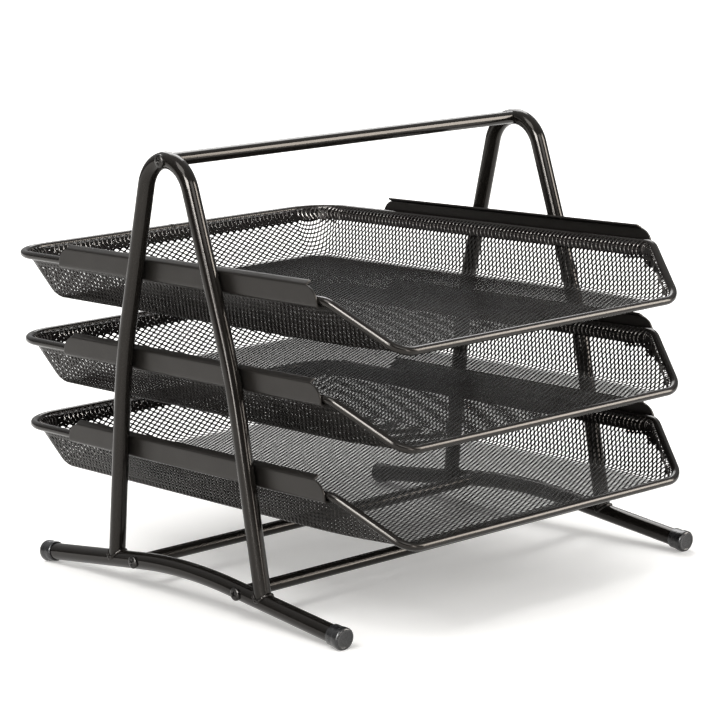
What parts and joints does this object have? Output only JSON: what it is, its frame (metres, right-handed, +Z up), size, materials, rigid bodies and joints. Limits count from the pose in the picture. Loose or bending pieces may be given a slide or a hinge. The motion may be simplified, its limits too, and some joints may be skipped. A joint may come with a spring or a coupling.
{
  "type": "letter tray",
  "caption": "Free-standing desktop letter tray: sliding mesh trays on guide rails in a steel tube frame with a carrying handle.",
  "frame": {"origin": "on the surface it stands on, below the middle of the overall box", "axes": "+Z up, -Y the open low front that the trays slide out to, +X to the right seen from the front"},
  "size_m": [0.2942, 0.3568, 0.2686],
  "materials": {
    "tube_paint": "semi-gloss black-bronze powder coat on steel tube",
    "rail_paint": "satin black powder coat on bent steel sheet",
    "wire_paint": "semi-gloss black-bronze powder coat on steel wire",
    "mesh_paint": "satin black powder coat on expanded steel sheet",
    "cap_plastic": "black moulded plastic, slightly glossy",
    "screw_steel": "blackened steel with a cross recess"
  },
  "bodies": {
    "frame": {"left_hoop": "tube_paint", "left_base_tube": "tube_paint", "left_front_foot_cap": "cap_plastic", "left_rear_foot_cap": "cap_plastic", "left_handle_screw": "screw_steel", "left_front_screw": "screw_steel", "left_rear_screw": "screw_steel", "left_top_rail": "rail_paint", "left_middle_rail": "rail_paint", "left_bottom_rail": "rail_paint", "right_hoop": "tube_paint", "right_base_tube": "tube_paint", "right_front_foot_cap": "cap_plastic", "right_rear_foot_cap": "cap_plastic", "right_handle_screw": "screw_steel", "right_front_screw": "screw_steel", "right_rear_screw": "screw_steel", "right_top_rail": "rail_paint", "right_middle_rail": "rail_paint", "right_bottom_rail": "rail_paint", "handle_bar": "tube_paint", "front_cross_bar": "tube_paint", "rear_cross_bar": "tube_paint"},
    "top_tray": {"top_tray_rim": "wire_paint", "top_tray_basket": "mesh_paint"},
    "middle_tray": {"middle_tray_rim": "wire_paint", "middle_tray_basket": "mesh_paint"},
    "bottom_tray": {"bottom_tray_rim": "wire_paint", "bottom_tray_basket": "mesh_paint"}
  },
  "joints": [
    {"name": "top_tray_slide", "type": "slide", "parent": "frame", "child": "top_tray", "axis": [0, -1, 0], "range_m": [0, 0.2]},
    {"name": "middle_tray_slide", "type": "slide", "parent": "frame", "child": "middle_tray", "axis": [0, -1, 0], "range_m": [0, 0.2]},
    {"name": "bottom_tray_slide", "type": "slide", "parent": "frame", "child": "bottom_tray", "axis": [0, -1, 0], "range_m": [0, 0.2]}
  ]
}
